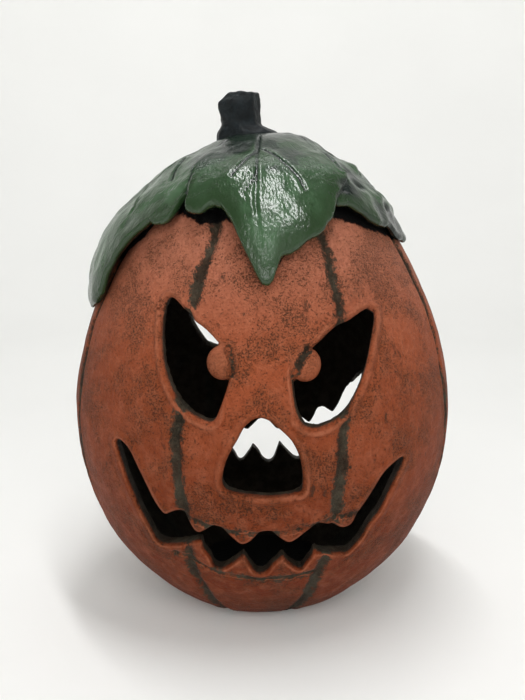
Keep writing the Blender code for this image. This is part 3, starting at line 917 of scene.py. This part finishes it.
def brush_map(data, azimuth, down):
    """UV map in metres round and down the leaves, so that brush marks run down them."""
    corner_verts = np.empty(len(data.loops), int)
    data.loops.foreach_get("vertex_index", corner_verts)
    sides = np.empty(len(data.polygons), int)
    data.polygons.foreach_get("loop_total", sides)
    first = np.concatenate([[0], np.cumsum(sides)[:-1]])
    turn = azimuth[corner_verts]
    base = np.repeat(turn[first], sides)
    turn = turn + 360 * np.round((base - turn) / 360)
    layer = data.uv_layers.new(name="brush")
    flat = np.stack([turn * BRUSH_ROUND * MM, down[corner_verts] * BRUSH_DOWN * MM], 1)
    layer.data.foreach_set("uv", flat.astype(np.float32).ravel())


def lid_profile(rows):
    """A rough profile with one point for each row, then the seat, the ring and the hollow of the crown."""
    sample = [(20 + 70 * share + 0.01 * index, 240 - 40 * share + 2 * side)
              for index, (share, side) in enumerate(rows)]
    crown = (0, DOME_CENTRE + DOME_RADIUS + CROWN_LIFT)
    return [crown, *sample, (SEAT_OUTER_RADIUS, SEAT_HEIGHT), *COLLAR, (0, CROWN_UNDERSIDE)]


def leaf_angles(azimuth, share, side):
    """Angle down of the leaves' edge and of each point, rounded over the edge."""
    seat_angle = math.degrees(math.atan2(SEAT_OUTER_RADIUS, SEAT_HEIGHT - DOME_CENTRE))
    edge = leaf_edge_angle(azimuth)
    down = np.where(side < -0.99, seat_angle + (edge - seat_angle) * share, edge * share)
    half = LEAF_THICKNESS / 2
    rim = (side < 0.99) & (side > -0.99)
    return edge, down + np.where(rim, np.degrees(np.sqrt(1 - side ** 2) * half / DOME_RADIUS), 0)


def leaf_skins(azimuth, down, share, relief):
    """Reach of the leaves' top and bottom, with the front leaf lapping over its neighbours."""
    lapping = smooth_step(-0.8, 0.8, lap_gap(azimuth, down)) * smooth_step(10, 40, down)
    lift = LAP_LIFT * lapping * (1 - smooth_step(62, 73, down))
    top = leaf_reach(azimuth, down) + lift + CROWN_LIFT * (1 - smooth_step(12, 27, down))
    bottom = underside_reach(azimuth, down) + lift * smooth_step(0, 0.4, share) * smooth_step(50, 54, down)
    return np.maximum(top + relief * smooth_step(0, 0.1, share), bottom + LEAST_LEAF_THICKNESS), bottom


def make_lid(settings):
    """The four leaves in one piece, with pressed veins and the ring underneath."""
    rows = lid_rows(settings)
    mesh = spin_profile(lid_profile(rows), settings.columns)
    row_of = mesh.verts.layers.int["row"]
    index = np.array([vert[row_of] for vert in mesh.verts])
    data = mesh_from("leaves", mesh)
    spots = read_points(data)
    all_azimuth = azimuth_of(spots)
    all_down = np.zeros(len(spots))
    moved = np.nonzero((index >= 1) & (index <= len(rows)))[0]
    share, side = np.array(rows)[index[moved] - 1].T
    azimuth = all_azimuth[moved]
    edge, down = leaf_angles(azimuth, share, side)
    relief, dark = leaf_relief(azimuth, down, settings)
    top, bottom = leaf_skins(azimuth, down, share, relief)
    reach = (top + bottom) / 2 + (top - bottom) / 2 * side
    spots[moved] = dome_spots(azimuth, down, reach) + (0, 0, DOME_CENTRE)
    write_points(data, spots)
    all_down[moved] = down
    brush_map(data, all_azimuth, all_down)
    marks = np.ones((4, len(spots)))
    marks[0, moved] = (dark - 1.1 * (1 - smooth_step(14, 36, down)) + 1.4 * smooth_step(40, 58, down)) / 10
    marks[1, moved] = (edge - down) / 20
    marks[2, moved] = 0.5 - 0.5 * side
    worn = hump(azimuth, WORN_LEAF_DEG, 40) * smooth_step(30, 48, down)
    # Hollows in the relief are darkened, partly as painted shade; the worn leaf and the bare touches show the
    # coat.
    marks[3, moved] = 0.5 + relief / 8 - 0.13 * worn - bare_coat(azimuth, down)
    write_marks(data, list(marks))
    data.shade_smooth()
    return link_object("leaves", data)


def make_stem(settings):
    """A chipped block that leans to the left, on a flared root."""
    mesh = bmesh.new()
    loops = []
    for across, out, height, half_width, half_depth, twist in STEM_RINGS:
        verts = []
        for side in range(STEM_SIDES):
            turn = math.radians(360 * side / STEM_SIDES + twist)
            spot = (across + half_width * math.cos(turn), out + half_depth * math.sin(turn), height)
            verts.append(mesh.verts.new(Vector(spot) * MM))
        loops.append([mesh.edges.new(pair) for pair in zip(verts, verts[1:] + verts[:1])])
    for low, high in zip(loops, loops[1:]):
        bmesh.ops.bridge_loops(mesh, edges=low + high)
    bmesh.ops.holes_fill(mesh, edges=mesh.edges, sides=STEM_SIDES)
    bmesh.ops.recalc_face_normals(mesh, faces=mesh.faces)
    bmesh.ops.bevel(
        mesh, geom=list(mesh.edges), offset=settings.stem_bevel, offset_type="OFFSET", segments=2,
        profile=0.5, affect="EDGES", material=-1, clamp_overlap=True,
    )
    bmesh.ops.triangulate(mesh, faces=[face for face in mesh.faces if len(face.verts) > 4])
    for _ in range(3):
        long_edges = [edge for edge in mesh.edges if edge.calc_length() > STEM_EDGE * MM]
        bmesh.ops.subdivide_edges(mesh, edges=long_edges, cuts=1, use_grid_fill=True)
    for vert in mesh.verts:
        spot = vert.co / MM
        lump = sum(height * noise.noise(spot / size) for size, height in STEM_LUMPS)
        vert.co += vert.normal * MM * lump
    bmesh.ops.recalc_face_normals(mesh, faces=mesh.faces)
    data = mesh_from("stem", mesh)
    data.shade_smooth()
    return link_object("stem", data)


RGB = {"data_type": "RGBA", "out": "Result"}
SOFT = {"interpolation_type": "SMOOTHSTEP"}


def new_material(name, roughness, specular):
    """An empty Principled material: its tree, its shader and the piece's own coordinates."""
    material = bpy.data.materials.new(name)
    material.use_nodes = True
    tree = material.node_tree
    shader = tree.nodes["Principled BSDF"]
    shader.inputs["Roughness"].default_value = roughness
    shader.inputs["Specular IOR Level"].default_value = specular
    return material, tree, shader, add_node(tree, "TexCoord", out="Object")


def read_marks(tree):
    """The paint guides stored on the points: the three colour outputs, and alpha."""
    marks = add_node(tree, "Attribute", attribute_name="paint", attribute_type="GEOMETRY", out="Color")
    return add_node(tree, "SeparateColor", (marks,)).node.outputs, marks.node.outputs["Alpha"]


def add_nodes(tree, kind, table, **settings):
    """Add nodes of one kind from a table of names and inputs, and return their outputs by name."""
    return {name: add_node(tree, kind, inputs, **settings) for name, inputs in table.items()}


def grain_inputs(place, table):
    """Inputs of noise patterns from a table of name, size in millimetres, detail and roughness."""
    return {
        name: {"Vector": place, "Scale": per_mm(size), "Detail": detail, "Roughness": rough}
        for name, size, detail, rough in table
    }


def add_layers(tree, colour, layers):
    """Lay colours over a first one, each by its strength."""
    for strength, paint in layers:
        colour = add_node(tree, "Mix", {0: strength, 6: colour, 7: paint}, **RGB)
    return colour


def clay_patterns(tree, place):
    """Noise patterns of the painted clay, the last two drawn out up and down."""
    drawn = add_node(tree, "Mapping", {"Vector": place, "Scale": (1, 1, 0.4)})
    return add_nodes(tree, "TexNoise", grain_inputs(place, (
        ("drift", 60, 2.0, 0.5), ("patch", 26, 4.0, 0.65), ("wear", 15, 4.0, 0.65), ("mottle", 6, 4.0, 0.6),
        ("ragged", 2.4, 4.0, 0.8), ("sand", 2.2, 4.0, 0.75), ("pit", 0.85, 3.0, 0.7),
    )) | grain_inputs(drawn, (("smear", 4, 4.0, 0.75), ("broad", 24, 3.0, 0.5))))


def orange_tones(tree, colours, place, grain):
    """The orange is darker low down as painted shade and paler near the top as a painted sheen; it drifts
    over 60 mm and mottles over 6 mm.
    """
    height = add_node(tree, "SeparateXYZ", (place,), out="Z")
    share = add_nodes(tree, "MapRange", {
        "low_shade": (height, 0.02, 0.2, 0.95, 0.0), "drift": (grain["drift"], 0.35, 0.65, 0.0, 0.3),
        "top_sheen": (height, 0.16, 0.24, 0.0, 0.75), "mottle": (grain["mottle"], 0.4, 0.7, 0.0, 0.3),
    }, **SOFT)
    paints = (colours.orange_dark, colours.orange_dark, colours.orange_sheen, colours.orange_light)
    return list(zip(share.values(), paints))


def painted_lip_highlight(tree, guide, grain):
    """A painted highlight in light orange along the lips round the openings, 2 to 3 mm out from the edge,
    broken by wear.
    """
    share = add_nodes(tree, "MapRange", {
        "rising": (guide["Green"], 0.1, 0.26), "falling": (guide["Green"], 0.3, 0.46, 0.55, 0.0),
        "broken": (grain["wear"], 0.4, 0.62, 0.25, 1.0),
    }, **SOFT)
    lip = add_node(tree, "Math", (share["rising"], share["falling"]), operation="MULTIPLY")
    return add_node(tree, "Math", (lip, share["broken"]), operation="MULTIPLY")


def worn_places(tree, grain):
    """Patches 26 mm wide are rubbed thin; 0.5 mm pits and upright smears 3 to 8 mm long show the coat."""
    patches = add_node(tree, "MapRange", (grain["patch"], 0.42, 0.62), **SOFT)
    thin = add_node(tree, "Math", (patches, 0.16), operation="MULTIPLY")
    level = add_node(tree, "Math", (patches, 0.1, grain["pit"]), operation="MULTIPLY_ADD")
    pits = add_node(tree, "MapRange", (level, 0.585, 0.7, 0.0, 0.7), **SOFT)
    rubbed = add_node(tree, "MapRange", (grain["wear"], 0.48, 0.68, 0.0, 0.12), **SOFT)
    level = add_node(tree, "Math", (grain["smear"], rubbed), operation="ADD")
    smears = add_node(tree, "MapRange", (level, 0.64, 0.76, 0.0, 0.72), **SOFT)
    return thin, add_node(tree, "Math", (pits, smears), operation="MAXIMUM")


def groove_wash(tree, colours, guide, grain, proud):
    """The grooves hold a grey-green wash 6 mm wide with ragged, dry-brushed edges, thinner in places."""
    near = add_node(tree, "MapRange", (guide["Red"], 0.05, 0.85, 0.95, 0.0))
    strength = add_node(tree, "MapRange", (grain["broad"], 0.36, 0.58, 0.84, 1.05), **SOFT)
    near = add_node(tree, "Math", (near, strength), operation="MULTIPLY")
    near = add_node(tree, "Math", (near, proud), operation="MULTIPLY")
    brushed = add_node(tree, "Math", (grain["smear"], grain["sand"]), operation="ADD")
    rough_edge = add_node(tree, "MapRange", (brushed, 0.5, 1.5, -0.5, 0.5))
    level = add_node(tree, "Math", (near, rough_edge), operation="ADD")
    wash = add_node(tree, "MapRange", (level, 0.48, 0.74, 0.0, 0.96), **SOFT)
    tone = add_node(tree, "MapRange", (grain["wear"], 0.42, 0.62))
    return wash, add_layers(tree, colours.undercoat, [(tone, colours.patina)])


def dark_walls(tree, colours, guide, grain):
    """The openings' walls show the coat, with a ragged dark line along each edge that is partly the coat and
    partly painted shade, and turn near-black deep inside.
    """
    dragged = add_node(tree, "MapRange", (grain["ragged"], 0.25, 0.75, -0.12, 0.12))
    level = add_node(tree, "Math", (guide["Blue"], dragged), operation="ADD")
    wall = add_node(tree, "MapRange", (level, 0.15, 0.3, 0.0, 0.95), **SOFT)
    # A dark line along each edge, partly the coat and partly painted shade where the edge turns in.
    level = add_node(tree, "Math", (guide["Green"], dragged), operation="ADD")
    ring = add_node(tree, "MapRange", (level, -0.08, 0.05, 0.9, 0.0), **SOFT)
    wall = add_node(tree, "Math", (wall, ring), operation="MAXIMUM")
    tone = add_node(tree, "MapRange", (grain["mottle"], 0.4, 0.62))
    walls = add_layers(tree, colours.undercoat, [(tone, colours.patina)])
    # Near-black deep inside the body.
    black_inside = add_node(tree, "MapRange", (guide["Blue"], 0.8, 1.0, 0.0, 1.0), **SOFT)
    return [(wall, walls), (black_inside, colours.inside)]


def painted_clay(colours):
    """Matt masonry paint dry-brushed over a dark coat on fired clay: chalky, pitted, worn to the coat, with
    painted shade low down and under the leaves and painted highlights near the top and on the lips.
    """
    material, tree, shader, place = new_material("matt paint on terracotta", 0.6, 0.12)
    guide, leaf_shade_mark = read_marks(tree)
    grain = clay_patterns(tree, place)
    # The lips and the pupils get a painted highlight in light orange.
    lip = painted_lip_highlight(tree, guide, grain)
    tooth = add_node(tree, "MapRange", (grain["sand"], 0.3, 0.62, 0.4, 0.0))
    thin, bare = worn_places(tree, grain)
    proud = add_node(tree, "Math", (lip, -1.4, 1.0), operation="MULTIPLY_ADD")
    bare = add_node(tree, "Math", (bare, proud), operation="MULTIPLY")
    # Under the leaves a painted shadow in the inside's black, with a ragged edge about 2 mm deep.
    shadow_edge_wobble = add_node(tree, "MapRange", (grain["ragged"], 0.25, 0.75, -0.08, 0.08))
    level = add_node(tree, "Math", (leaf_shade_mark, shadow_edge_wobble), operation="ADD")
    shade = add_node(tree, "MapRange", (level, 0.46, 0.54, 1.0, 0.0), **SOFT)
    colour = add_layers(tree, colours.orange, [
        *orange_tones(tree, colours, place, grain), (lip, colours.orange_light), (tooth, colours.orange_dark),
        (thin, colours.umber), (bare, colours.undercoat), groove_wash(tree, colours, guide, grain, proud),
        *dark_walls(tree, colours, guide, grain), (shade, colours.inside),
    ])
    tree.links.new(colour, shader.inputs["Base Color"])
    # Sandy grain of 2.2 mm and sunken pits roughen the surface.
    fine = add_node(tree, "Math", (grain["sand"], grain["mottle"]), operation="ADD")
    sunk = add_node(tree, "Math", (bare, 0.5), operation="MULTIPLY")
    relief = add_node(tree, "Math", (fine, sunk), operation="SUBTRACT")
    bump = add_node(tree, "Bump", {"Height": relief, "Strength": 1.0, "Distance": 1.5 * MM})
    tree.links.new(bump, shader.inputs["Normal"])
    return material


def dark_on_leaf(tree, place, guide, hollows, grain):
    """Veins and the top of the leaves keep the blue-black coat; the hollows get it partly as the coat and
    partly as painted shade.
    """
    height = add_node(tree, "SeparateXYZ", (place,), out="Z")
    hollow = add_node(tree, "MapRange", (hollows, 0.28, 0.46, 0.9, 0.0), **SOFT)
    wobble = add_node(tree, "MapRange", (grain["ragged"], 0.3, 0.7, -0.03, 0.06))
    level = add_node(tree, "Math", (guide["Red"], wobble), operation="ADD")
    line = add_node(tree, "MapRange", (level, 0.06, 0.16, 0.9, 0.0), **SOFT)
    uneven_top = add_node(tree, "MapRange", (grain["drift"], 0.3, 0.7, -0.02, 0.02))
    level = add_node(tree, "Math", (height, uneven_top), operation="ADD")
    crown = add_node(tree, "MapRange", (level, 0.259, 0.28, 0.0, 0.8), **SOFT)
    dark = add_node(tree, "Math", (hollow, line), operation="MAXIMUM")
    return add_node(tree, "Math", (dark, crown), operation="MAXIMUM")


def leaf_enamel(colours):
    """Green enamel brushed thickly over a dark coat: glossy, ridged by the bristles, dark in the hollows
    partly as painted shade, with a painted shadow underneath.
    """
    material, tree, shader, place = new_material("brushed green enamel", 0.2, 0.5)
    guide, hollows = read_marks(tree)
    brushed = add_node(tree, "UVMap", uv_map="brush")
    drawn = add_node(tree, "Mapping", {"Vector": brushed, "Scale": (1, 0.6, 1)})
    grain = add_nodes(tree, "TexNoise", grain_inputs(place, (
        ("drift", 26, 3.0, 0.6), ("mottle", 6, 4.0, 0.65), ("ragged", 2.4, 3.0, 0.7),
    )) | grain_inputs(drawn, (("bristle", 1.4, 1.0, 0.5), ("ridge", 4, 1.0, 0.5))))
    # Light and dark greens drift over 26 mm, mottled by 6 mm touches of the brush. The green is darkest in
    # the last 12 mm before the edge. The underside and the lower half of the rim get a painted shadow in the
    # inside's black.
    share = add_nodes(tree, "MapRange", {
        "drift": (grain["drift"], 0.36, 0.64), "touched": (grain["mottle"], 0.5, 0.75, 0.0, 0.55),
        "edge": (guide["Green"], 0.05, 0.6, 0.8, 0.0), "below": (guide["Blue"], 0.45, 0.85),
    }, **SOFT)
    dark = dark_on_leaf(tree, place, guide, hollows, grain)
    colour = add_layers(tree, colours.leaf, (
        (share["drift"], colours.leaf_light), (share["touched"], colours.leaf_dark),
        (share["edge"], colours.leaf_dark), (dark, colours.leaf_coat), (share["below"], colours.inside),
    ))
    tree.links.new(colour, shader.inputs["Base Color"])
    # Bristle ridges of 1.4 and 4 mm break the shine into short grains.
    ridges = add_node(tree, "Math", (grain["ridge"], 0.7), operation="MULTIPLY")
    relief = add_node(tree, "Math", (grain["bristle"], ridges), operation="ADD")
    bump = add_node(tree, "Bump", {"Height": relief, "Strength": 0.9, "Distance": 0.27 * MM})
    tree.links.new(bump, shader.inputs["Normal"])
    return material


def stem_enamel(colours):
    """Blue-black satin enamel on a chipped block: soft shine and rubbed corners."""
    material, tree, shader, place = new_material("blue-black enamel", 0.5, 0.2)
    grain = add_nodes(tree, "TexNoise", grain_inputs(place, (
        ("mottle", 5, 4.0, 0.6), ("fine", 1.5, 3.0, 0.6),
    )))
    share = add_node(tree, "MapRange", (grain["mottle"], 0.4, 0.7))
    colour = add_layers(tree, colours.stem, [(share, colours.stem_light)])
    tree.links.new(colour, shader.inputs["Base Color"])
    # Brush ridges of 1.5 and 5 mm.
    relief = add_node(tree, "Math", (grain["mottle"], grain["fine"]), operation="ADD")
    bump = add_node(tree, "Bump", {"Height": relief, "Strength": 0.7, "Distance": 0.6 * MM})
    tree.links.new(bump, shader.inputs["Normal"])
    return material


def plain_paper(colours):
    """Seamless background paper: matt and pale, with a faint drift of tone over 300 mm."""
    material, tree, shader, place = new_material("background paper", 0.9, 0.2)
    tone = add_node(tree, "TexNoise", {"Vector": place, "Scale": per_mm(300), "Detail": 2.0})
    colour = add_layers(tree, colours.floor, [(tone, colours.floor_light)])
    tree.links.new(colour, shader.inputs["Base Color"])
    return material


def finish_piece(piece, material, node):
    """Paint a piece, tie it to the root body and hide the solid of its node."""
    piece.data.materials.append(material)
    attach(piece, "root")
    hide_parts(node)


class LANTERN_OT_body(bpy.types.Operator):
    """Model and paint the hollow body"""

    bl_idname = "lantern.body"
    bl_label = "Pumpkin Body"

    def execute(self, context):
        scene = context.scene
        material = painted_clay(scene.lantern_paint)
        finish_piece(make_body(scene.lantern_body), material, "pumpkin_body")
        return {"FINISHED"}


class LANTERN_OT_lid(bpy.types.Operator):
    """Model and paint the leaf lid"""

    bl_idname = "lantern.lid"
    bl_label = "Leaf Lid"

    def execute(self, context):
        scene = context.scene
        material = leaf_enamel(scene.lantern_paint)
        finish_piece(make_lid(scene.lantern_lid), material, "leaf_lid")
        return {"FINISHED"}


class LANTERN_OT_stem(bpy.types.Operator):
    """Model and paint the stem"""

    bl_idname = "lantern.stem"
    bl_label = "Stem"

    def execute(self, context):
        scene = context.scene
        material = stem_enamel(scene.lantern_paint)
        finish_piece(make_stem(scene.lantern_lid), material, "leaf_lid")
        return {"FINISHED"}


def add_light(name, place, target, breadth, length, power, shows):
    """A soft box that faces a target and shows in shiny surfaces or not."""
    lamp = bpy.data.lights.new(name, "AREA")
    lamp.shape = "RECTANGLE"
    lamp.size = breadth
    lamp.size_y = length
    lamp.energy = power
    item = bpy.data.objects.new(name, lamp)
    item.location = place
    item.rotation_euler = (Vector(target) - Vector(place)).to_track_quat("-Z", "Y").to_euler()
    item.visible_glossy = shows
    bpy.context.scene.collection.objects.link(item)


def make_backdrop(material):
    """A floor that curves up into a wall on every side."""
    turns = [math.radians(90 * step / BEND_STEPS) for step in range(1, BEND_STEPS + 1)]
    points = [(0, 0), (400, 0), (FLOOR_RADIUS, 0)]
    for turn in turns:
        across = FLOOR_RADIUS + BEND_RADIUS * math.sin(turn)
        points.append((across, BEND_RADIUS - BEND_RADIUS * math.cos(turn)))
    points.append((FLOOR_RADIUS + BEND_RADIUS, WALL_HEIGHT))
    mesh = spin_profile(points, BACKDROP_COLUMNS)
    bmesh.ops.reverse_faces(mesh, faces=mesh.faces)
    data = mesh_from("backdrop", mesh)
    data.shade_smooth()
    data.materials.append(material)
    link_object("backdrop", data)


class LANTERN_OT_stage(bpy.types.Operator):
    """Set up the floor, the lights and the camera"""

    bl_idname = "lantern.stage"
    bl_label = "Stage"

    def execute(self, context):
        scene = context.scene
        settings = scene.lantern_stage
        make_backdrop(plain_paper(settings))
        for name, place, target, breadth, length, power, shows in SOFT_BOXES:
            add_light(name, place, target, breadth, length, power * settings.light, shows)
        world = bpy.data.worlds.new("studio")
        world.use_nodes = True
        sky = world.node_tree.nodes["Background"]
        sky.inputs["Color"].default_value = (1, 1, 1, 1)
        sky.inputs["Strength"].default_value = SKY_STRENGTH * settings.light
        scene.world = world
        view = bpy.data.cameras.new("camera")
        view.lens = settings.lens
        camera = bpy.data.objects.new("camera", view)
        camera.location = settings.camera_place
        camera.rotation_euler = (math.pi / 2 - settings.camera_tilt, 0, 0)
        scene.collection.objects.link(camera)
        scene.camera = camera
        scene.view_settings.view_transform = "Standard"
        return {"FINISHED"}


class LANTERN_PT_panel(bpy.types.Panel):
    """Buttons for each piece of the lantern"""

    bl_idname = "LANTERN_PT_panel"
    bl_label = "Lantern"
    bl_space_type = "VIEW_3D"
    bl_region_type = "UI"
    bl_category = "Lantern"

    def draw(self, context):
        for operator in OPERATORS:
            self.layout.operator(operator.bl_idname)
        for group in GROUPS:
            settings = getattr(context.scene, group)
            for name in settings.bl_rna.properties.keys():
                if name not in ("rna_type", "name"):
                    self.layout.prop(settings, name)


GROUPS = {
    "lantern_body": LanternBody,
    "lantern_lid": LanternLid,
    "lantern_paint": LanternPaint,
    "lantern_stage": LanternStage,
}
OPERATORS = (LANTERN_OT_body, LANTERN_OT_lid, LANTERN_OT_stem, LANTERN_OT_stage)


def register():
    """Register the classes and put the settings on the scene."""
    for item in (*GROUPS.values(), *OPERATORS, LANTERN_PT_panel):
        bpy.utils.register_class(item)
    for name, group in GROUPS.items():
        setattr(bpy.types.Scene, name, PointerProperty(type=group))


def unregister():
    """Take the settings and classes away again."""
    for name in GROUPS:
        delattr(bpy.types.Scene, name)
    for item in (LANTERN_PT_panel, *OPERATORS, *GROUPS.values()):
        bpy.utils.unregister_class(item)


def main():
    """Make every piece."""
    register()
    bpy.ops.lantern.body()
    bpy.ops.lantern.lid()
    bpy.ops.lantern.stem()
    bpy.ops.lantern.stage()


if __name__ == "__main__":
    main()
